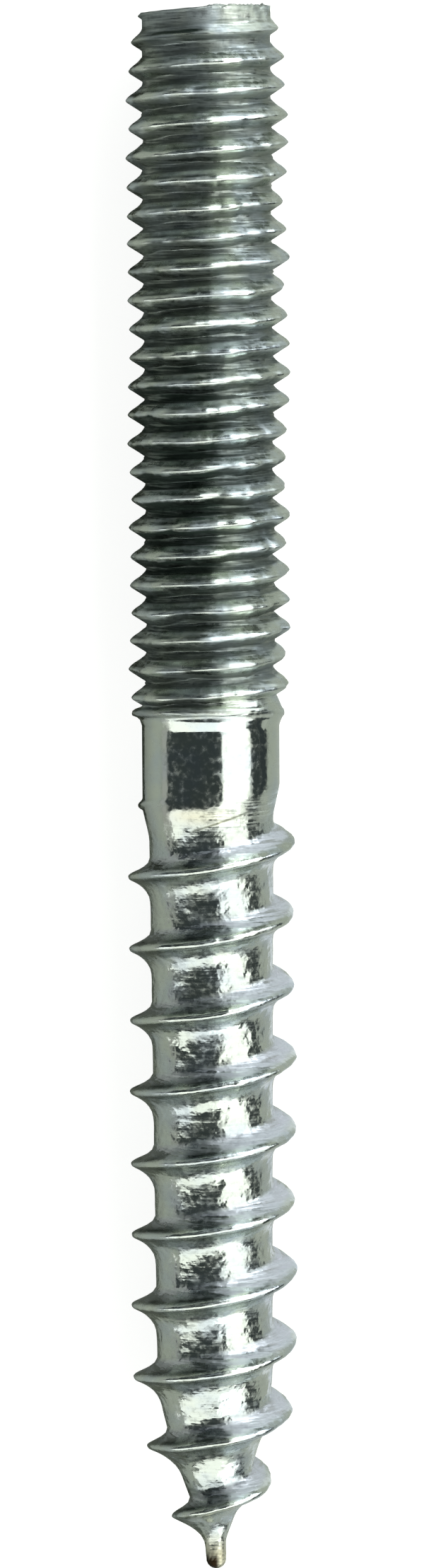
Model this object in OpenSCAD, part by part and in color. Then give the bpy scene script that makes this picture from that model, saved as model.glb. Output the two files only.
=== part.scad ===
// Hanger bolt: one steel pin with a machine thread rolled on one end, and a wood thread with a
// gimlet point on the other. Millimetres, +Z up. The bolt lies on its side along Y with its machine
// end to +Y. The origin is on its axis, where the plain shank ends and the wood thread begins.

/* [Machine thread] */
// Diameter over the crests
machine_d = 3.88; // [3.6:0.02:5]
// Diameter at the bottom of the groove
machine_root_d = 3.14; // [2.7:0.02:3.3]
// Distance from one crest to the next
machine_pitch = 0.7; // [0.6:0.05:1]
// Width of the flat on each crest
machine_crest = 0.08; // [0.04:0.01:0.14]
// Length from the raised ring to the middle of the cut end
machine_length = 17.35; // [8:0.05:25]
// Angle at which the thread runs out into the raised ring, from the right-hand side
machine_start = -20; // [-180:1:180]

/* [Cut end] */
// Slope of the sheared end face
end_slope = 3; // [0:0.5:6]
// Length over which the crests grow from nothing at the cut end to their full height
end_taper = 2.2; // [0.5:0.1:4]

/* [Plain shank] */
// Diameter of the plain shank
shank_d = 3.42; // [3.3:0.02:3.6]
// Length from the wood thread to the raised ring
shank_length = 2.15; // [1.6:0.05:12]
// Diameter of the ring that the rolling raised at the end of the machine thread
ring_d = 3.72; // [3.6:0.02:3.9]
// Width of the ring's rim
ring_w = 0.12; // [0.06:0.01:0.3]
// Length of the flare below the ring
ring_flare = 0.5; // [0.2:0.05:0.9]

/* [Wood thread] */
// Diameter over the crests
wood_d = 4.12; // [3.7:0.02:5]
// Core diameter next to the shank
core_d = 3.1; // [2.9:0.02:3.3]
// Core diameter where the point begins
core_point_d = 2.9; // [2.6:0.02:3.1]
// Distance from one crest to the next
wood_pitch = 1.815; // [1.5:0.005:2.6]
// Width of the crest
wood_crest = 0.1; // [0.05:0.01:0.2]
// Slope of the flank towards the machine end
upper_flank = 25; // [15:1:32]
// Slope of the flank towards the point
lower_flank = 35; // [20:1:38]
// Length from the shank to the start of the point
wood_length = 14.7; // [6:0.1:22]
// Length of the cone from the shank down to the core
core_lead = 1.1; // [0.6:0.05:2]
// Angle at which the crest crosses the end of the shank, from the right-hand side
wood_start = 206; // [0:1:360]

/* [Gimlet point] */
// Length from the core to the blunt tip
point_length = 4.2; // [3:0.1:8]
// How full the point is: 1 is a straight cone
point_fullness = 1.4; // [1:0.02:2]
// Diameter of the blunt tip
tip_d = 0.48; // [0.3:0.02:0.8]
// Length of the blunt tip
tip_length = 0.75; // [0.5:0.05:1.5]

/* [Hidden] */
$fn = 96;

// Steps in one turn of each thread: two over a multiple of four, so that a flat lies underneath
machine_steps = 22;
wood_steps = 30;
// Slope of both flanks of the machine thread
machine_flank = 30;
// How far a thread's foot is sunk into the core, so that the two join
sink = 0.1;

ring_z = shank_length;
end_z = ring_z + machine_length;
point_z = -wood_length;
tip_z = point_z - point_length - tip_length;

machine_root_r = machine_root_d / 2;
machine_depth = (machine_d - machine_root_d) / 2;
machine_foot = min(machine_crest / 2 + machine_depth * tan(machine_flank), 0.45 * machine_pitch);

// The wood thread's crest meets the shank's surface half a turn above its full height
wood_fade = 0.94 * wood_pitch;
wood_fade_z = 0.52 * wood_pitch;
// Height of the fillet at the foot of the wood thread, and how far it reaches out
fillet_h = 0.11;
fillet_w = 0.2;

function ramp(x) = min(1, max(0, x));
function mix(a, b, t) = a + (b - a) * t;

// Radius of the wood end's core at height z
function core_r(z) =
    let (body = mix(core_d, core_point_d, ramp(-z / wood_length)) / 2,
         s = ramp((point_z - z) / point_length))
    mix(tip_d / 2, body, 1 - pow(s, point_fullness));

// Surface wound round the axis, from step first on. Each row holds the [radius, height] points across
// one pitch, and its last point is followed by the first point of the row one turn further on.
module wound_surface(rows, steps, first) {
    across = len(rows[0]);
    last = len(rows) - 1 - steps;
    function turned(p, i) =
        let (angle = 360 * (first + i) / steps) [p[0] * cos(angle), p[0] * sin(angle), p[1]];
    function at(i, k) =
        k == across ? at(i + steps, 0) : i <= last ? i * across + k : last * (across - 1) + across - 1 + i;
    low_loop = [for (i = [0:steps]) at(i, 0), for (k = [across - 1:-1:1]) at(0, k)];
    high_loop = [for (k = [0:across - 1]) at(last, k), for (i = [last + steps:-1:last + 1]) at(i, 0)];
    low_tip = at(last + steps, 0) + 1;
    high_tip = low_tip + 1;
    polyhedron(
        points = [
            for (i = [0:last]) for (p = rows[i]) turned(p, i),
            for (i = [last + 1:last + steps]) turned(rows[i][0], i),
            [0, 0, rows[floor(steps / 2)][0][1]],
            [0, 0, rows[last + floor(steps / 2)][0][1]]
        ],
        faces = [
            for (i = [0:last - 1]) for (k = [0:across - 1]) each [
                [at(i, k), at(i, k + 1), at(i + 1, k + 1)],
                [at(i, k), at(i + 1, k + 1), at(i + 1, k)]
            ],
            for (j = [0:len(low_loop) - 1]) [low_loop[j], low_loop[(j + 1) % len(low_loop)], low_tip],
            for (j = [0:len(high_loop) - 1]) [high_loop[j], high_loop[(j + 1) % len(high_loop)], high_tip]
        ]
    );
}

// Turned form under the threads: the ring, the plain shank, the wood end's core and its point
module blank() {
    shank_r = shank_d / 2;
    ring_r = ring_d / 2;
    tip_r = tip_d / 2;
    rotate_extrude()
        polygon([
            [0, tip_z],
            [0.5 * tip_r, tip_z],
            [0.85 * tip_r, tip_z + 0.3 * tip_r],
            [tip_r, tip_z + tip_r],
            for (s = [1:-0.125:0]) [core_r(point_z - s * point_length), point_z - s * point_length],
            [core_r(-core_lead), -core_lead],
            [shank_r, 0],
            [shank_r, ring_z - ring_w - ring_flare],
            [mix(shank_r, ring_r, 0.4), ring_z - ring_w - 0.4 * ring_flare],
            [ring_r, ring_z - ring_w],
            [ring_r, ring_z],
            [machine_root_r - sink, ring_z + ring_r - machine_root_r + sink],
            [0, ring_z + ring_r - machine_root_r + sink]
        ]);
}

// Height of the machine thread's crest at a step, and the share of its full depth there
function machine_z(i) = ring_z + machine_pitch * (i / machine_steps - machine_start / 360);
function machine_rise(z) = ramp(2 * (z - ring_z) / machine_pitch) * sqrt(ramp((end_z - z) / end_taper));

function machine_row(i) =
    let (z = machine_z(i), crest_r = machine_root_r + machine_depth * machine_rise(z))
    [
        [machine_root_r, z - machine_foot],
        [crest_r, z - machine_crest / 2],
        [crest_r, z + machine_crest / 2],
        [machine_root_r, z + machine_foot]
    ];

module machine_thread() {
    low = -machine_steps;
    high = machine_steps * (ceil(machine_length / machine_pitch) + 2);
    intersection() {
        wound_surface([for (i = [low:high]) machine_row(i)], machine_steps, low);
        translate([0, 0, end_z])
            rotate([0, -end_slope, 0])
                translate([0, 0, -2 * machine_length])
                    cylinder(d = 4 * machine_d, h = 2 * machine_length);
    }
}

// Height of the wood thread's crest at a step, and the share of its full height there
function wood_z(i) = wood_pitch * (i / wood_steps - wood_start / 360);
function wood_rise(z) = ramp((wood_fade_z - z) / wood_fade) * ramp((z - tip_z - tip_length) / tip_length + 0.2);

function wood_row(i) =
    let (z = wood_z(i),
         height = mix(-sink, wood_d / 2 - core_r(max(z, point_z)), wood_rise(z)),
         fillet = height > 0 ? min(fillet_h, height / 2) : height,
         up = wood_crest / 2 + max(0, height) * tan(upper_flank),
         down = wood_crest / 2 + max(0, height) * tan(lower_flank))
    [
        [max(sink, core_r(z - down - fillet_w)) - sink / 2, z - down - fillet_w],
        [core_r(z - down) + fillet, z - mix(wood_crest / 2, down, 0.8)],
        [core_r(z) + height, z - wood_crest / 2],
        [core_r(z) + height, z + wood_crest / 2],
        [core_r(z + up) + fillet, z + mix(wood_crest / 2, up, 0.8)],
        [core_r(z + up + fillet_w) - sink, z + up + fillet_w]
    ];

module wood_thread() {
    low = ceil(wood_steps * (wood_start / 360 + (tip_z + 0.7 * tip_length) / wood_pitch));
    high = floor(wood_steps * (wood_start / 360 + 1.5));
    wound_surface([for (i = [low:high + wood_steps]) wood_row(i)], wood_steps, low);
}

module hanger_bolt() {
    color("silver")
        rotate([-90, 0, 0])
            union() {
                blank();
                machine_thread();
                wood_thread();
            }
}

hanger_bolt();
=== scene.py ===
"""Zinc-plated hanger bolt: a machine thread, a plain shank, and a wood thread with a gimlet point."""

import math

import bpy
import numpy as np
from mathutils import Matrix, Vector, noise


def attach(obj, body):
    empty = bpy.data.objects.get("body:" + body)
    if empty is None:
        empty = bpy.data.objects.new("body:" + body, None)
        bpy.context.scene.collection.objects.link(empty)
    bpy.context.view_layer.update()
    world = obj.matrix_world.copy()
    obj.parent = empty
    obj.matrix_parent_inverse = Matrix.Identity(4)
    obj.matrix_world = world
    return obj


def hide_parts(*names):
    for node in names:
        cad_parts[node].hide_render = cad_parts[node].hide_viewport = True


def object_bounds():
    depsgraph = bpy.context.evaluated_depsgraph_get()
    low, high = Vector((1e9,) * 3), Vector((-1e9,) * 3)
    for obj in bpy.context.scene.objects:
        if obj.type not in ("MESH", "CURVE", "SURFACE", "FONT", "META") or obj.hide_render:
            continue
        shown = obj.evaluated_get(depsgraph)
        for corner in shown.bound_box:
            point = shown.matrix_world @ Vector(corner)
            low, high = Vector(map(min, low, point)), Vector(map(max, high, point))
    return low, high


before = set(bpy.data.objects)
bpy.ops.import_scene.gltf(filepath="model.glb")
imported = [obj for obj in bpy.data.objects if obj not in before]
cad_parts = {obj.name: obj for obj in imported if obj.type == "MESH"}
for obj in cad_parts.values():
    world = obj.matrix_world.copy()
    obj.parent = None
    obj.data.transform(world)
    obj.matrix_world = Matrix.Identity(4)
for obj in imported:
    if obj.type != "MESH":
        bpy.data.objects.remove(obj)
CAD_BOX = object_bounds()

bl_info = {
    "name": "Hanger bolt",
    "version": (1, 0, 0),
    "blender": (4, 5, 0),
    "location": "3D view > Sidebar > Hanger bolt",
    "description": "Builds a zinc-plated hanger bolt and the small studio that it lies in",
    "category": "Add Mesh",
}

MM = 0.001


def linear(hex_colour):
    """The linear colour of an sRGB hex value."""
    parts = [int(hex_colour[i:i + 2], 16) / 255 for i in (1, 3, 5)]
    return tuple(c / 12.92 if c <= 0.04045 else ((c + 0.055) / 1.055) ** 2.4 for c in parts)


def length(name, mm, description):
    """A length in metres, from its default in millimetres."""
    return bpy.props.FloatProperty(
        name=name, description=description, default=mm * MM, min=0, precision=5, unit="LENGTH")


def angle(name, degrees, description):
    """An angle, from its default in degrees."""
    return bpy.props.FloatProperty(
        name=name, description=description, default=math.radians(degrees), subtype="ANGLE")


def colour(name, hex_colour, description):
    """A colour, from its default as an sRGB hex value."""
    return bpy.props.FloatVectorProperty(
        name=name, description=description, default=linear(hex_colour), min=0, max=1, subtype="COLOR")


def share(name, value, description, top=1.0):
    """A plain number from nought to top."""
    return bpy.props.FloatProperty(
        name=name, description=description, default=value, min=0, max=top, precision=3)


class BoltSizes(bpy.types.PropertyGroup):
    """Sizes of the bolt. The lengths along it count from the end of the plain shank."""

    machine_d: length("Machine thread", 3.88, "Diameter over the machine thread's crests")
    machine_root_d: length("Machine root", 3.14, "Diameter at the bottom of the machine thread's groove")
    machine_pitch: length("Machine pitch", 0.7, "Distance from one machine crest to the next")
    machine_crest: length("Machine crest", 0.09, "Width of the land on a machine crest")
    machine_length: length("Machine length", 17.32, "Length from the ring to the middle of the cut end")
    machine_start: angle("Machine start", -20, "Where the machine thread runs out into the ring")
    machine_flank: angle("Machine flank", 32, "Slope of both flanks of the machine thread")
    end_slope: angle("End slope", 4, "Slope of the sheared half of the cut end")
    end_taper: length("End taper", 2.2, "Length over which the crests grow from the cut end")
    shank_d: length("Shank", 3.42, "Diameter of the plain shank")
    shank_length: length("Shank length", 2.15, "Length from the wood thread to the ring")
    ring_d: length("Ring", 3.72, "Diameter of the ring that the rolling raised")
    ring_w: length("Ring width", 0.12, "Width of the ring's rim")
    ring_flare: length("Ring flare", 0.25, "Length of the flare below the ring")
    wood_d: length("Wood thread", 4.12, "Diameter over the wood thread's crests")
    core_d: length("Core", 3.1, "Core diameter next to the shank")
    core_point_d: length("Core at the point", 2.9, "Core diameter where the point begins")
    wood_pitch: length("Wood pitch", 1.815, "Distance from one wood crest to the next")
    wood_crest: length("Wood crest", 0.13, "Width of the land on a wood crest")
    upper_flank: angle("Upper flank", 25, "Slope of the flank towards the machine end")
    lower_flank: angle("Lower flank", 22, "Slope of the hollow flank towards the point, next to the crest")
    land: angle("Land slope", 20, "How far the lands of both threads lean towards the point")
    wood_length: length("Wood length", 14.7, "Length from the shank to the start of the point")
    core_lead: length("Core lead", 0.72, "Length of the cone from the shank down to the core")
    wood_start: angle("Wood start", 212, "Where the wood crest crosses the end of the shank")
    point_length: length("Point", 4.2, "Length from the core to the blunt tip")
    point_fullness: share("Point fullness", 1.4, "How full the point is: 1 is a straight cone", 3)
    tip_d: length("Tip", 0.48, "Diameter of the blunt tip")
    tip_length: length("Tip length", 0.75, "Length of the blunt tip")


class BoltFinish(bpy.types.PropertyGroup):
    """Colours and wear of the zinc plating."""

    zinc: colour("Zinc", "#c7cfc3", "Bright zinc, a little green")
    blued: colour("Blued zinc", "#bfc9c8", "Zinc where its clear passivation turns blue")
    flank: colour("Flank zinc", "#c8cdd0", "Zinc on the wood thread's upper flanks, a little lilac")
    # Dark film in the grooves. The same colour is also painted shade under and above the crests, along the
    # fold and on the side away from the softbox
    film: colour("Groove film", "#38443d", "Dull dark film in the grooves and behind the crests")
    stain: colour("Stain", "#c9c29a", "Pale yellow stain at the shank's lower end and at the point")
    burnt: colour("Burnt tip", "#33281a", "Brown spot where the point was pinched off")
    polish: share("Roughness of the shank", 0.1, "Roughness of the plain shank")
    rolled: share("Roughness of the grooves", 0.5, "Roughness at the bottom of the machine thread's groove")


class StageLook(bpy.types.PropertyGroup):
    """The floor, the lamps and the camera."""

    paper: colour("Paper", "#a8aca4", "Pale paper of the floor, as its lamps light it")
    room: colour("Room", "#3e4446", "Dim room round the lamps, as the metal shows it")
    softbox: share("Softbox", 2.2, "Power of the long softbox on the right, in watts", 20)
    front: share("Front panel", 1.27, "Power of the panel towards the point, in watts", 20)
    back: share("Back panel", 1.3, "Power of the bluish panel behind the machine end, in watts", 20)
    glow: share("Paper glow", 0.86, "Light that the paper adds where the camera sees it")
    focal: bpy.props.FloatProperty(
        name="Focal length", description="Focal length of the camera, in millimetres", default=120.74)
    distance: length("Distance", 130.9, "From the camera to the bolt")
    tilt: angle("Tilt", 6.78, "How far the camera leans from straight above towards the machine end")
    roll: angle("Roll", 0.384, "How far the bolt leans to the left in the picture")


def ramp(x):
    """x held between nought and one."""
    return np.clip(x, 0, 1)


def ease(x):
    """A smooth step from nought to one."""
    x = ramp(x)
    return x * x * (3 - 2 * x)


def step(x, start, full):
    """A smooth step from nought at start to one at full, which may lie on either side of start."""
    return ease((x - start) / (full - start))


def bell(x, width, power=2):
    """A smooth bump of height one round nought. A higher power gives it a flatter top."""
    return np.exp(-(x / width) ** power)


def mix(a, b, t):
    """From a to b by share t."""
    return a + (b - a) * t


def soft_max(a, b, k):
    """The larger of two heights, with a fillet of height k where they meet."""
    near = np.maximum(k - np.abs(a - b), 0)
    return np.maximum(a, b) + near * near / (4 * k)


def grain(points, size, seed):
    """Smooth noise from about -1 to 1 at points in millimetres, with bumps of that size."""
    shift = Vector((7.3 * seed, 3.1 * seed, 5.7 * seed))
    values = [noise.noise(Vector(p) / size + shift) for p in points.reshape(-1, 3)]
    return np.array(values).reshape(points.shape[:-1])


class Wire:
    """The bolt's sizes in millimetres, with the lengths that follow from them."""

    # Height of the upper edge of the rolled wood end, and how far it swings up on the right
    ROLLED_AT = 0.036
    ROLLED_SWING = 0.3
    # How far the ring's upper edge stands above its place all round, and further at the front
    RING_LIFT = 0.08
    RING_FRONT = 0.2
    # Share of the ring's height that the flare below it reaches
    FLARE_RISE = 0.6
    # Turn where the machine thread's last groove is filled most, in radians
    FILLED_TURN = 5.76
    # Slope of the ring's upper side in the open, and where the groove is filled
    RING_DROP = 1.2
    FILLED_DROP = 0.42
    # Height of the ring's lip, and how much lower it is on the right
    LIP = 0.1
    LIP_LEAN = 0.06
    # Where the slope of the sheared half ends, to the right of the axis
    SHEARED_TO = 0.1
    # Thickness of the nib, as a share of the tip's
    NIB = 1.05

    def __init__(self, sizes):
        for key in sizes.__annotations__:
            value = getattr(sizes, key)
            is_length = sizes.bl_rna.properties[key].unit == "LENGTH"
            setattr(self, key, value / MM if is_length else value)
        self.ring_z = self.shank_length
        self.end_z = self.ring_z + self.machine_length
        self.point_z = -self.wood_length
        self.tip_z = self.point_z - self.point_length - self.tip_length
        self.root_r = self.machine_root_d / 2
        self.tip_r = self.tip_d / 2

    def core(self, z):
        """Radius of the wood end's core at height z, with the nib at the tip."""
        body = mix(self.core_d, self.core_point_d, ramp(-z / self.wood_length)) / 2
        s = ramp((self.point_z - z) / self.point_length)
        cone = mix(self.tip_r, body, 1 - s ** self.point_fullness)
        return np.maximum(cone, self.NIB * self.tip_r)

    def rolled_from(self, turn):
        """Height where the plain shank gives way to the rolled wood end, which starts higher on the right."""
        return self.ROLLED_AT + self.ROLLED_SWING * np.cos(turn)

    def ring_top(self, turn):
        """Height of the ring's upper edge, which rises towards the front."""
        return self.ring_z + self.RING_LIFT + self.RING_FRONT * np.maximum(-np.sin(turn), 0)

    def run_out(self, turn):
        """Share by which the machine thread's last groove is filled, from the front round to the right."""
        return ease(1.6 * np.cos(turn - self.FILLED_TURN) - 0.5)

    def blank(self, z, turn):
        """Radius under the threads: core, shank, flare, ring with an uneven lip, and root."""
        shank_r = self.shank_d / 2
        flare_r = mix(shank_r, self.ring_d / 2, self.FLARE_RISE)
        lead = ramp((self.rolled_from(turn) - z) / self.core_lead)
        low = mix(shank_r, self.core(z), lead)
        flare_z = self.ring_z - self.ring_w / 2 - self.ring_flare
        flare = mix(low, flare_r, ramp((z - flare_z) / self.ring_flare))
        ring_top = self.ring_top(turn)
        drop = flare_r - (z - ring_top) * mix(self.RING_DROP, self.FILLED_DROP, self.run_out(turn))
        high = np.where(z < ring_top, flare, np.maximum(drop, self.root_r))
        lip_half = 0.8 * self.ring_w
        lip = bell(z - ring_top + lip_half, lip_half, 4)
        return high + lip * (self.LIP - self.LIP_LEAN * np.cos(turn))

    def end(self, r, turn):
        """Height of the cut end, whose sheared half slopes down to the left."""
        return self.end_z + math.tan(self.end_slope) * np.minimum(r * np.cos(turn), self.SHEARED_TO)


# Steps round one turn of the skin, and samples across one pitch
TURN = 96
ACROSS = 24
# Whole turns that the skin makes between the two threads
BETWEEN = 2
# Room that the skin takes over the blunt tip and over the cut end, in millimetres
CAP = 0.34
FACE = 1.7
# How far the crests wander in height and in line, and how deep their chips are, in millimetres
WOOD_WANDER = 0.06
MACHINE_WANDER = 0.15
SWAY = 0.035
WOOD_CHIP = 0.08
MACHINE_CHIP = 0.15
# How far the crests are raised for what their rounding takes off, in millimetres
CREST_LIFT = 0.03
# How deep the wood thread is sunk in the shank where it has not begun, in millimetres
SINK = 0.1
# Fold at the front below the shank, drawn only as a painted shade line: its height in millimetres,
# and its climb to the right in millimetres for each radian round the bolt and for each millimetre across it
FOLD_Z = -0.49
FOLD_CLIMB = 0.556
FOLD_SLOPE = 0.327


def spread(peak, width, foot):
    """Places of the samples across one pitch, closer at the crest and at the foot of one flank."""
    w = np.linspace(0, 1, 2001)
    density = 1 + peak * bell(w - 0.5, width) + foot * bell(w - 0.1, 0.06)
    total = np.concatenate(([0], np.cumsum((density[1:] + density[:-1]) / 2)))
    return np.interp(np.linspace(0, total[-1], ACROSS + 1), total, w)


class Winding:
    """The skin's grid, wound round the axis like the threads.

    A row is one step of a turn, and its samples lie across one pitch at w, with the crest in the middle.
    q is the place along the bolt. It is the height on the sides, and goes on over the tip and the cut end.
    """

    def __init__(self, wire):
        wood_turn = wire.wood_start / (2 * math.pi) + 0.5
        machine_turn = wire.machine_start / (2 * math.pi) + 0.5 + BETWEEN
        # The pitch changes along the plain shank, between these two places
        low_q = 0.52 * wire.wood_pitch
        high_q = wire.ring_z - 0.1
        low_s = low_q / wire.wood_pitch + wood_turn
        high_s = (high_q - wire.ring_z) / wire.machine_pitch + machine_turn
        span = high_s - low_s
        first_s = (wire.tip_z - CAP) / wire.wood_pitch + wood_turn - 1
        last_s = (wire.end_z + 0.3 + FACE - wire.ring_z) / wire.machine_pitch + machine_turn
        first = math.floor(first_s * TURN)
        self.rows = math.ceil(last_s * TURN) - first
        turns = np.arange(first, first + self.rows + TURN)[:, None] / TURN
        on_machine = step(turns + 0.5, low_s, high_s)
        on_wood_w = spread(peak=4, width=0.12, foot=0)
        on_machine_w = spread(peak=1.8, width=0.16, foot=2)
        self.w = mix(on_wood_w, on_machine_w, on_machine)[:, :ACROSS]
        s = turns + self.w
        x = (s - low_s) / span
        joined = (low_q * (1 + 2 * x) * (1 - x) ** 2 + high_q * x * x * (3 - 2 * x)
                  + span * wire.wood_pitch * x * (1 - x) ** 2 - span * wire.machine_pitch * x * x * (1 - x))
        wood_q = low_q + (s - low_s) * wire.wood_pitch
        machine_q = high_q + (s - high_s) * wire.machine_pitch
        self.q = np.where(s < low_s, wood_q, np.where(s > high_s, machine_q, joined))
        self.turn = 2 * math.pi * turns + 0 * self.w
        self.is_wood = s < mix(low_s, high_s, 0.5)
        self.wood_z = wire.wood_pitch * (turns + 0.5 - wood_turn)
        self.machine_z = wire.ring_z + wire.machine_pitch * (turns + 0.5 - machine_turn)
        # Wander of the crests along the thread in height and in line, and chips out of them
        angle_round = self.turn[:, 0]
        along = np.stack([2 * np.cos(angle_round), 2 * np.sin(angle_round), 0.9 * turns[:, 0]], 1)
        self.wander = (grain(along, 0.9, 1) + 0.3 * grain(along, 0.2, 10))[:, None]
        self.sway = grain(along, 1.4, 2)[:, None]
        self.chips = np.maximum(grain(along, 0.35, 3)[:, None] - 0.25, 0)


def wood_thread(wire, grid, base):
    """Radius of the skin on the wood end, with the thread and its fillets over the base."""
    z = grid.wood_z
    # The crest grows out of the shank, and dies away on the tip
    rise = ramp((0.3 * wire.wood_pitch - z) / (0.71 * wire.wood_pitch))
    rise = rise * ramp((z - wire.tip_z - wire.tip_length) / wire.tip_length + 0.2)
    near_tip = step(z, wire.tip_z + 2, wire.tip_z + 0.5)
    height = mix(-SINK, wire.wood_d / 2 - wire.core(np.maximum(z, wire.point_z)), rise)
    height = height + (WOOD_WANDER * grid.wander - WOOD_CHIP * grid.chips) * rise
    off = wire.wood_pitch * (grid.w - 0.5) - SWAY * grid.sway * rise
    edge = wire.wood_crest / 2
    # The upper flank is straight and the lower one hollow
    upper = (off - edge) / math.tan(wire.upper_flank)
    full = np.maximum(height, 0.02) + 0.05
    lower = full * (1 - np.exp(np.minimum(off + edge, 0.1) / (full * math.tan(wire.lower_flank))))
    # The crest is rounder above than below. It is blunt near the tip, and raised by what that takes off
    round_off = mix(mix(0.07, 0.16, step(off, -edge, edge)), 0.45, near_tip)
    flank = soft_max(np.where(off > 0, upper, lower), 0 * off, round_off) - 0.095 * near_tip
    land = math.tan(wire.land) * np.clip(edge - off, 0, wire.wood_crest) * rise
    fillet = np.where(off > 0, mix(0.01, 0.3, ramp((height - 0.08) / 0.4)), 0.05)
    return soft_max(base, wire.core(grid.q) + height - flank - land + CREST_LIFT, fillet)


def machine_thread(wire, grid, base):
    """Radius of the skin on the machine end, with the thread and its fillets over the base."""
    z = grid.machine_z
    # The crest grows out of the ring, and dies away at the cut end
    rise = ramp(2 * (z - wire.ring_z) / wire.machine_pitch)
    rise = rise * np.sqrt(ramp((wire.end_z + 0.05 - z) / wire.end_taper))
    full = wire.machine_d / 2 - wire.root_r
    depth = (full + MACHINE_WANDER * grid.wander - MACHINE_CHIP * grid.chips) * rise
    off = wire.machine_pitch * (grid.w - 0.5) - SWAY * grid.sway * rise
    slope = math.tan(wire.machine_flank)
    edge = wire.machine_crest / 2
    # The crest is rounder above than below
    round_off = mix(0.06, 0.2, step(off, -edge, edge))
    flank = soft_max((np.abs(off) - edge) / slope, 0 * off, round_off)
    land = math.tan(wire.land) * np.clip(edge - off, 0, wire.machine_crest) * rise
    top = wire.root_r + depth + CREST_LIFT
    # The hollow above a crest runs on under the next turn
    hollow = mix(0.01, 0.24, ramp(depth / 0.3))
    groove = soft_max(base, top - (off + wire.machine_pitch - edge) / slope, hollow)
    return soft_max(groove, top - flank - land, np.where(off > 0, hollow, 0.02))


def skin_faces(grid, at_tip, at_end):
    """Faces of the grid, with one point for each pole, and the numbers of the points that they use."""
    number = np.arange(grid.q.size).reshape(grid.q.shape)
    for pole in (at_tip, at_end):
        number[pole] = np.flatnonzero(pole)[0]
    ring = np.concatenate([number[:grid.rows], number[TURN:grid.rows + TURN, :1]], 1)
    quads = np.stack([ring[:-1, :-1], ring[:-1, 1:], ring[1:, 1:], ring[1:, :-1]], 2).reshape(-1, 4)
    faces = [list(dict.fromkeys(quad)) for quad in quads.tolist()]
    faces = [face for face in faces if len(face) > 2]
    used = np.unique(np.concatenate(faces))
    place = np.zeros(number.size, int)
    place[used] = np.arange(used.size)
    return [place[face].tolist() for face in faces], used


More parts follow.
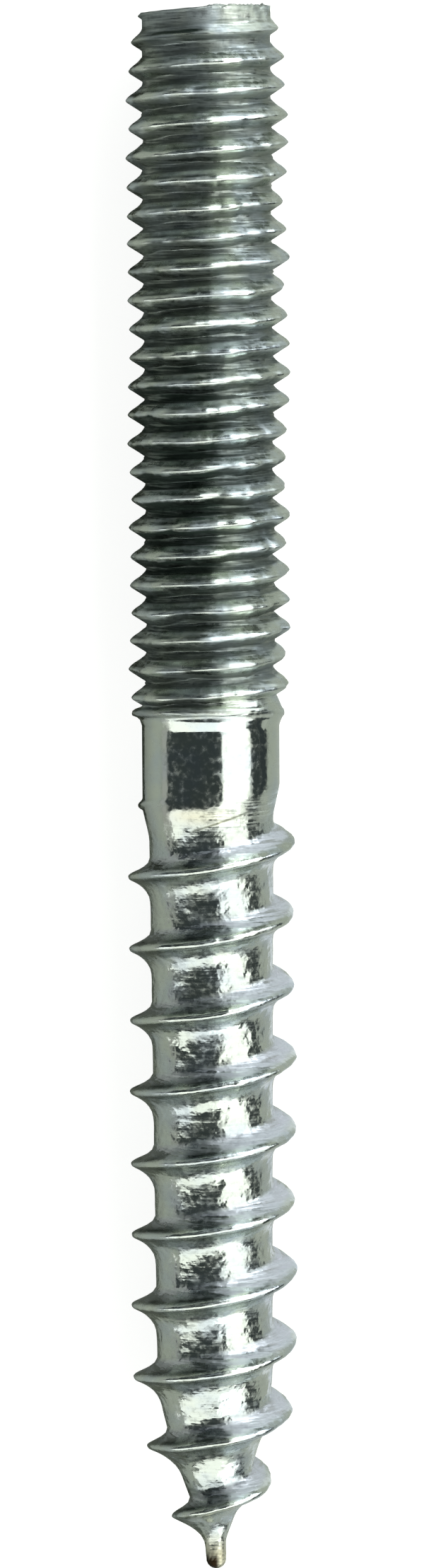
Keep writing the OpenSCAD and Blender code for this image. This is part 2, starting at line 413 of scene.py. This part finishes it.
def bolt_skin(wire):
    """The skin as points in millimetres, faces, and the marks that the material reads at each point."""
    grid = Winding(wire)
    ring_z, end_z, tip_z = wire.ring_z, wire.end_z, wire.tip_z
    q = grid.q
    w = grid.w
    turn = grid.turn
    z = np.clip(q, tip_z + wire.tip_r, None)
    base = wire.blank(z, turn)
    r = np.where(grid.is_wood, wood_thread(wire, grid, base), machine_thread(wire, grid, base))

    # Across the thread: the groove, how far the groove is darkened, the seam above the crest with a painted
    # shade line along it, a painted shade line just under the crest, and both sides of the crest
    height = r - base
    off = np.where(grid.is_wood, wire.wood_pitch, wire.machine_pitch) * (w - 0.5)
    groove = ramp(1 - height / 0.3)
    darkened_groove = mix(step(off, 0.2, 0.23), step(height, 0.33, 0.27), step(w, 0.55, 0.45))
    seam_at = np.where(grid.is_wood, 0.15, 0.1)
    seam_shade = bell(off - seam_at, 0.4 * seam_at) * ramp(height / 0.1)
    on_top = step(w, 0.56, 0.6) * ramp(height / 0.04)
    under_crest_shade = bell(w - 0.437, 0.025) * ramp(height / 0.2)

    # Along the bolt: the rubbed patch under the shank, and all that the rolling worked
    start = wire.rolled_from(turn)
    rubbed = step(z, start, start - 0.1) * step(z, start - 0.9, start - 0.6)
    worked = np.where(z < wire.shank_length / 2, step(z, start + 0.06, start - 0.84),
                      step(z, ring_z - 0.1, ring_z + 0.1))

    # Cut end: the side runs on over the rim to the middle of the sheared face
    rim = np.minimum(r, wire.root_r + 0.03)
    past = q - wire.end(rim, turn)
    cut = past > 0
    over = ramp(past / FACE)
    at_rim = step(past, -0.15, -0.05)
    near_end = step(past, -0.5, -0.3)
    matt = step(past, -0.8, -0.5)
    bevelled = np.where(past > -0.25, np.minimum(r, rim - past), r)
    r = np.where(cut, rim * (1 - over), bevelled)
    z = np.where(cut, wire.end(r, turn), z)

    # Blunt tip: the side runs on over the nib to its middle
    under = ramp((tip_z + wire.tip_r - q) / CAP)
    r = r * np.sqrt(1 - under ** 2)
    z = z - wire.tip_r * under

    x = r * np.cos(turn)
    points = np.stack([x, z, -r * np.sin(turn)], 2)
    outward = np.stack([np.cos(turn), 0 * turn, -np.sin(turn)], 2)

    # Where the marks lie. The darkening of the groove stops short of the ring, the cut end and the filled
    # groove. The left side, away from the softbox, gets painted shade in the dark colour
    wood = grid.is_wood.astype(float)
    machine = worked * (1 - wood)
    darkened_groove = darkened_groove * step(z, ring_z + 0.1, ring_z + 0.35) * step(z, end_z - 0.3, end_z - 0.8)
    darkened_groove = darkened_groove * (1 - wire.run_out(turn) * step(z, ring_z + 0.75, ring_z + 0.6))
    at_ring = bell(z - wire.ring_top(turn) + 0.1, 0.13, 4)
    at_nib = step(z, tip_z + 0.9, tip_z + 0.6)
    on_left = step(x, 0.6, -0.2)
    torn = near_end * step(x + 0.3 * grain(points, 0.6, 4), -0.1, 0.2)
    crackled = wood * bell(z - tip_z - 2.1, 0.18)
    flank = wood * worked * on_top
    # The painted shade line along the seam is drawn only on the left, the side away from the softbox
    seam_shade = seam_shade * worked * ease(0.6 + 1.5 * grain(points, 0.7, 11)) * on_left
    front = turn % (2 * math.pi) - 1.5 * math.pi

    # Dullness, from the polish of the shank at nought to the bottom of the machine grooves near one
    machine_dull = machine * mix(0.42, 0.9, np.maximum(darkened_groove, 0.4 * at_ring))
    right_dull = (0.6 * rubbed + 0.8 * flank) * (1 - on_left)
    dull = 0.22 * wood * worked + machine_dull + 0.4 * at_nib + 0.5 * matt + right_dull

    # The dark colour in the machine thread's grooves is strongest in the middle and weakest at the cut end.
    # It is painted shade where it is stronger on the left, away from the softbox, there and on the wood
    # thread's upper flanks, the ring and the cut end. The torn half of the cut end is darkened in patches
    groove_darkness = 1.13 - 0.35 * step(z, 8, 15) - 0.28 * step(z, 7.5, 2.5)
    wood_film_and_shade = wood * worked * mix(0.08 * groove + 0.1 * on_top * on_left, 0.6, under_crest_shade)
    machine_film_and_shade = machine * darkened_groove * groove_darkness * (1 - 0.7 * at_ring) * mix(0.79, 1, on_left)
    end_shade_and_torn_film = 0.6 * matt * step(x, 0.5, -0.5) + 0.4 * torn * ease(0.3 + 2 * grain(points, 0.3, 12))
    film = wood_film_and_shade + machine_film_and_shade + 0.4 * at_ring * on_left + seam_shade + 0.65 * groove * crackled + end_shade_and_torn_film

    marks = {
        "crinkled": worked * mix(0.45, 1, groove) * mix(0.25, 1, wood) + torn,
        "dull": dull,
        "drawn": ramp(1.2 * dull + 0.6 * flank),
        "flank": flank,
        "film": film,
        "torn": torn,
        "stain": bell(z + 0.25, 0.25) * bell(x + 0.3, 0.9) + step(z, tip_z + 1.2, tip_z + 0.4),
        "fold": bell(z - FOLD_Z - FOLD_CLIMB * front, 0.3) * bell(front - 0.18, 0.5, 4),
        "burnt": step(z, tip_z + 0.45, tip_z + 0.3) * step(x, 0.135, -0.015),
    }

    # Fractured half of the cut end, rough and a little higher than the sheared half
    rough = grain(points, 0.16, 5) + 0.6 * grain(points, 0.07, 6)
    points[..., 1] += torn * at_rim * (0.02 + 0.08 * rough) + cut * 0.012 * grain(points, 0.4, 7)
    points += outward * (torn * (1 - cut) * 0.03 * rough)[..., None]

    # Uneven skin that the rolling left
    uneven = 0.007 * grain(points, 0.3, 8) + 0.003 * grain(points, 0.17, 9)
    points += outward * (uneven * worked * (1 - cut) * ramp(r / 0.3))[..., None]

    at_tip = q <= tip_z + wire.tip_r - CAP
    at_end = over >= 1
    points[at_tip] = (0, tip_z, 0)
    points[at_end] = (0, end_z, 0)
    faces, used = skin_faces(grid, at_tip, at_end)
    return points.reshape(-1, 3)[used], faces, {key: mark.reshape(-1)[used] for key, mark in marks.items()}


def add_node(tree, kind, inputs=None, **settings):
    """A node with its settings, and each input either set to a value or linked from an output."""
    node = tree.nodes.new("ShaderNode" + kind)
    for key, value in settings.items():
        setattr(node, key, value)
    for key, value in (inputs or {}).items():
        if isinstance(value, bpy.types.NodeSocket):
            tree.links.new(value, node.inputs[key])
        else:
            node.inputs[key].default_value = value
    return node


def new_material(name):
    """A material with no nodes yet, and its node tree."""
    material = bpy.data.materials.new(name)
    material.use_nodes = True
    material.node_tree.nodes.clear()
    return material, material.node_tree


# Patterns of the plating, in millimetres: width, length and depth of the streaks along the thread, width and
# depth of the crinkle, width of the blotches of rougher plating, and width of the clouds in the passivation
STREAK_W = 0.06
STREAK_L = 1
STREAK_DEPTH = 0.018
CRINKLE_W = 0.25
CRINKLE_DEPTH = 0.05
BLOTCH_W = 0.15
CLOUD_W = 0.9


def zinc_plated_steel(finish, marks):
    """Bright zinc plated on rolled steel wire, with the skin's marks.

    It gives the eye hard mirror bands on the plain shank, broken edges to the same bands on the threads,
    where the rolling left a fine crinkle and streaks along the thread, satin flanks with a tinge of lilac
    on the wood thread, and a dull greenish film in the grooves. The same dark colour is also painted
    shade under and above the crests, along the fold, and on the side away from the softbox.
    """
    material, tree = new_material("zinc_plated_rolled_steel")
    place = add_node(tree, "TexCoord").outputs["Object"]
    mark = {key: add_node(tree, "Attribute", attribute_name=key).outputs["Fac"] for key in marks}

    thin = STREAK_W / STREAK_L
    stretched = add_node(tree, "Mapping", {"Vector": place, "Scale": (thin, 1, thin)}).outputs["Vector"]
    streak = add_node(tree, "TexNoise", {
        "Vector": stretched, "Scale": 1 / (STREAK_W * MM), "Detail": 2.0, "Roughness": 0.5}).outputs["Fac"]
    crinkle = add_node(tree, "TexNoise", {
        "Vector": place, "Scale": 1 / (CRINKLE_W * MM), "Detail": 2.0, "Roughness": 0.4}).outputs["Fac"]
    blotch = add_node(tree, "TexNoise", {
        "Vector": place, "Scale": 1 / (BLOTCH_W * MM), "Detail": 3.0}).outputs["Fac"]
    cloud = add_node(tree, "TexNoise", {
        "Vector": place, "Scale": 1 / (CLOUD_W * MM), "Detail": 3.0}).outputs["Fac"]

    # The dark colour is patchy along the thread, and a painted shade line, climbing to the right, darkens the
    # folded crease
    patch = add_node(tree, "MapRange", {"Value": streak, "From Min": 0.38, "From Max": 0.62, "To Min": 0.78})
    film = add_node(tree, "Math", {0: mark["film"], 1: patch.outputs[0]}, operation="MULTIPLY")
    across = add_node(tree, "VectorMath", {0: place, 1: (-FOLD_SLOPE / MM, 1 / MM, 0)},
                      operation="DOT_PRODUCT")
    across = add_node(tree, "Math", {0: across.outputs["Value"], 1: -FOLD_Z}, operation="ADD")
    across = add_node(tree, "Math", {0: across.outputs[0]}, operation="ABSOLUTE")
    line = add_node(tree, "MapRange", {
        "Value": across.outputs[0], "From Max": 0.05, "To Min": 1.0, "To Max": 0.0})
    line = add_node(tree, "Math", {0: line.outputs[0], 1: mark["fold"]}, operation="MULTIPLY")
    film = add_node(tree, "Math", {0: film.outputs[0], 1: line.outputs[0]}, operation="MAXIMUM")

    # Colour: clouds of blue in the zinc, and then each mark over what lies under it
    blue = add_node(tree, "MapRange", {"Value": cloud, "From Min": 0.42, "From Max": 0.62})
    yellow = add_node(tree, "Math", {0: mark["stain"], 1: cloud}, operation="MULTIPLY")
    tint = (*finish.zinc, 1)
    layers = (
        (blue.outputs[0], finish.blued),
        (mark["flank"], finish.flank),
        (film.outputs[0], finish.film),
        (yellow.outputs[0], finish.stain),
        (mark["burnt"], finish.burnt),
    )
    for cover, over in layers:
        tint = add_node(tree, "Mix", {0: cover, 6: tint, 7: (*over, 1)}, data_type="RGBA").outputs[2]

    # Roughness: the dull marks, clouds, the torn half of the cut end, blotches and streaks
    rough = add_node(tree, "MapRange", {
        "Value": mark["dull"], "To Min": finish.polish, "To Max": finish.rolled})
    patchy = add_node(tree, "MapRange", {
        "Value": cloud, "From Min": 0.3, "From Max": 0.7, "To Min": 0.8, "To Max": 1.25})
    rough = add_node(tree, "Math", {0: rough.outputs[0], 1: patchy.outputs[0]}, operation="MULTIPLY")
    rough = add_node(tree, "Math", {0: mark["torn"], 1: 0.15, 2: rough.outputs[0]}, operation="MULTIPLY_ADD")
    specks = add_node(tree, "MapRange", {"Value": blotch, "From Min": 0.46, "From Max": 0.72, "To Max": 0.23})
    rough = add_node(tree, "Math", {0: specks.outputs[0], 1: rough.outputs[0]}, operation="ADD")
    streaky = add_node(tree, "MapRange", {
        "Value": streak, "From Min": 0.35, "From Max": 0.65, "To Min": -0.25, "To Max": 0.25})
    rough = add_node(tree, "Math", {0: streaky.outputs[0], 1: mark["drawn"], 2: rough.outputs[0]},
                     operation="MULTIPLY_ADD")

    depth = add_node(tree, "MapRange", {"Value": mark["crinkled"], "To Min": 0.08, "To Max": 0.8})
    bump = add_node(tree, "Bump", {
        "Strength": mark["drawn"], "Distance": STREAK_DEPTH * MM, "Height": streak})
    bump = add_node(tree, "Bump", {
        "Strength": depth.outputs[0], "Distance": CRINKLE_DEPTH * MM, "Height": crinkle,
        "Normal": bump.outputs[0]})
    metal = add_node(tree, "BsdfPrincipled", {
        "Base Color": tint, "Metallic": 1.0, "Roughness": rough.outputs[0], "Normal": bump.outputs[0]})
    add_node(tree, "OutputMaterial", {"Surface": metal.outputs[0]})
    return material


def floor_paper(look):
    """Matt pale paper: white to the camera, with the bolt's soft shadow, and pale to the metal."""
    material, tree = new_material("pale_floor_paper")
    path = add_node(tree, "LightPath").outputs
    seen = add_node(tree, "Math", {0: path["Is Glossy Ray"], 1: path["Is Transmission Ray"]}, operation="ADD")
    seen = add_node(tree, "Math", {0: seen.outputs[0], 1: 0.1, 2: path["Is Camera Ray"]},
                    operation="MULTIPLY_ADD")
    seen = add_node(tree, "Math", {0: seen.outputs[0], 1: look.glow}, operation="MULTIPLY")
    glow = add_node(tree, "Emission", {"Strength": seen.outputs[0]})
    matt = add_node(tree, "BsdfDiffuse", {"Color": (*look.paper, 1)})
    both = add_node(tree, "AddShader", {0: glow.outputs[0], 1: matt.outputs[0]})
    add_node(tree, "OutputMaterial", {"Surface": both.outputs[0]})
    return material


def lit_card(name, hex_colour, strength):
    """Studio card, lit evenly, as the metal shows it."""
    material, tree = new_material(name)
    glow = add_node(tree, "Emission", {"Color": (*linear(hex_colour), 1), "Strength": strength})
    add_node(tree, "OutputMaterial", {"Surface": glow.outputs[0]})
    return material


def link(thing):
    """Puts an object in the scene."""
    bpy.context.scene.collection.objects.link(thing)
    return thing


def stage_sheet(name, near, far, material):
    """A level or upright sheet of the studio, from two opposite corners."""
    axis = 0 if near[0] != far[0] else 1
    second = list(near)
    second[axis] = far[axis]
    fourth = list(far)
    fourth[axis] = near[axis]
    mesh = bpy.data.meshes.new(name)
    mesh.from_pydata([near, second, far, fourth], [], [(0, 1, 2, 3)])
    mesh.materials.append(material)
    sheet = link(bpy.data.objects.new(name, mesh))
    return sheet


def lamp(name, place, aim, across, along, watts, hex_colour="#ffffff"):
    """A soft rectangular lamp, hidden from the camera."""
    light = bpy.data.lights.new(name, "AREA")
    light.shape = "RECTANGLE"
    light.size = across
    light.size_y = along
    light.energy = watts
    light.color = linear(hex_colour)
    holder = link(bpy.data.objects.new(name, light))
    holder.location = place
    holder.rotation_mode = "QUATERNION"
    holder.rotation_quaternion = (Vector(aim) - Vector(place)).to_track_quat("-Z", "Y")
    holder.visible_camera = False


class HANGERBOLT_OT_bolt(bpy.types.Operator):
    """Build the bolt's skin over its CAD solid, and plate it with zinc"""

    bl_idname = "hangerbolt.bolt"
    bl_label = "Build the bolt"
    bl_options = {"REGISTER", "UNDO"}

    def execute(self, context):
        settings = context.scene
        points, faces, marks = bolt_skin(Wire(settings.bolt_sizes))
        mesh = bpy.data.meshes.new("bolt_skin")
        mesh.from_pydata((points * MM).tolist(), [], faces)
        if mesh.validate():
            raise RuntimeError("the bolt's skin has faulty faces")
        mesh.shade_smooth()
        for key, values in marks.items():
            mark = mesh.attributes.new(key, "FLOAT", "POINT")
            mark.data.foreach_set("value", np.ascontiguousarray(values, dtype=np.float32))
        mesh.materials.append(zinc_plated_steel(settings.bolt_finish, marks))
        bolt = link(bpy.data.objects.new("bolt_skin", mesh))
        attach(bolt, "root")
        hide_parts("hanger_bolt")
        return {"FINISHED"}


class HANGERBOLT_OT_stage(bpy.types.Operator):
    """Lay the floor, set the lamps and cards, and place the camera"""

    bl_idname = "hangerbolt.stage"
    bl_label = "Set the stage"
    bl_options = {"REGISTER", "UNDO"}

    def execute(self, context):
        scene = context.scene
        look = scene.bolt_stage
        scene.view_settings.view_transform = "Standard"

        # The floor lies under the bolt, and reaches this far on each side
        low = CAD_BOX[0].z
        wide = 4
        stage_sheet("floor", (-wide, -wide, low), (wide, wide, low), floor_paper(look))

        # Cards that show only in the metal: two opposite corners in metres, a colour and a strength.
        # Five lie on the floor in three layers: a dark one further out on the right, two under the bolt's
        # left side that paint its contact shadow, and two next to the wood end on the right that paint light
        # on the floor where the bolt shades it. One stands behind the machine end, and one on the left.
        first = low + 0.1 * MM
        second = low + 0.2 * MM
        third = low + 0.3 * MM
        cards = {
            "dark_card": ((0.0095, -0.3, second), (0.3, 0.3, second), "#3c4246", 1),
            "shade_card": ((-0.0031, -0.001, first), (-0.0009, 0.025, first), "#343931", 1),
            "half_shade_card": ((-0.0031, -0.025, first), (-0.0009, -0.001, first), "#5c6159", 1),
            "white_card": ((0.0022, -0.025, first), (0.0033, -0.0015, first), "#eef2fa", 1.05),
            "light_card": ((0.0033, -0.025, third), (0.015, -0.0015, third), "#dfe3de", 0.76),
            "back_card": ((-0.5, 0.5, 0.28), (0.1, 0.5, 0.8), "#c9d0d6", 0.5),
            "pale_card": ((-0.5, -0.4, low), (-0.5, 0.4, 0.1), "#ffffff", 0.5),
        }
        for name, (near, far, hex_colour, strength) in cards.items():
            card = stage_sheet(name, near, far, lit_card(name, hex_colour, strength))
            card.visible_camera = False
            card.visible_shadow = False
            card.visible_diffuse = False

        lamp("softbox", place=(0.21, 0.25, 0.214), aim=(0, 0.25, 0), across=1.3, along=0.286,
             watts=look.softbox)
        lamp("front_panel", place=(-0.15, -0.246, 0.172), aim=(-0.15, 0, 0), across=0.9, along=0.28,
             watts=look.front)
        lamp("back_panel", place=(0.24, 0.33, 0.1), aim=(0, 0, 0.08), across=0.45, along=0.2,
             watts=look.back, hex_colour="#ecf1fa")

        # The camera sees white past the floor, and the metal sees a dim room
        world = bpy.data.worlds.new("studio_room")
        scene.world = world
        world.use_nodes = True
        tree = world.node_tree
        tree.nodes.clear()
        seen = add_node(tree, "LightPath").outputs["Is Camera Ray"]
        room = add_node(tree, "Background", {"Color": (*look.room, 1)})
        white = add_node(tree, "Background", {"Color": (1, 1, 1, 1)})
        both = add_node(tree, "MixShader", {0: seen, 1: room.outputs[0], 2: white.outputs[0]})
        add_node(tree, "OutputWorld", {"Surface": both.outputs[0]})

        data = bpy.data.cameras.new("camera")
        data.lens = look.focal
        data.clip_start = 0.01
        camera = link(bpy.data.objects.new("camera", data))
        # The point of the bolt that is in the middle of the picture
        target = Vector((0.025, 0.354, 0)) * MM
        away = Vector((0, math.sin(look.tilt), math.cos(look.tilt)))
        up = Vector((0, math.cos(look.tilt), -math.sin(look.tilt)))
        facing = Matrix((Vector((1, 0, 0)), up, away)).transposed()
        camera.matrix_world = (Matrix.Translation(target + away * look.distance)
                               @ facing.to_4x4() @ Matrix.Rotation(-look.roll, 4, "Z"))
        scene.camera = camera
        return {"FINISHED"}


class HANGERBOLT_PT_panel(bpy.types.Panel):
    """Lists the bolt's sizes, finish and stage"""

    bl_idname = "HANGERBOLT_PT_panel"
    bl_label = "Hanger bolt"
    bl_space_type = "VIEW_3D"
    bl_region_type = "UI"
    bl_category = "Hanger bolt"

    def draw(self, context):
        for operator, group in OPERATORS.items():
            box = self.layout.box()
            box.operator(operator)
            for key in group:
                settings = getattr(context.scene, key)
                for prop in settings.__annotations__:
                    box.prop(settings, prop)


OPERATORS = {"hangerbolt.bolt": ("bolt_sizes", "bolt_finish"), "hangerbolt.stage": ("bolt_stage",)}
GROUPS = {"bolt_sizes": BoltSizes, "bolt_finish": BoltFinish, "bolt_stage": StageLook}
CLASSES = (*GROUPS.values(), HANGERBOLT_OT_bolt, HANGERBOLT_OT_stage, HANGERBOLT_PT_panel)


def register():
    """Registers the classes, and puts the settings on the scene."""
    for kind in CLASSES:
        bpy.utils.register_class(kind)
    for key, kind in GROUPS.items():
        setattr(bpy.types.Scene, key, bpy.props.PointerProperty(type=kind))


def unregister():
    """Takes the settings and the classes away again."""
    for key in GROUPS:
        delattr(bpy.types.Scene, key)
    for kind in reversed(CLASSES):
        bpy.utils.unregister_class(kind)


def main():
    register()
    bpy.ops.hangerbolt.bolt()
    bpy.ops.hangerbolt.stage()


if __name__ == "__main__":
    main()
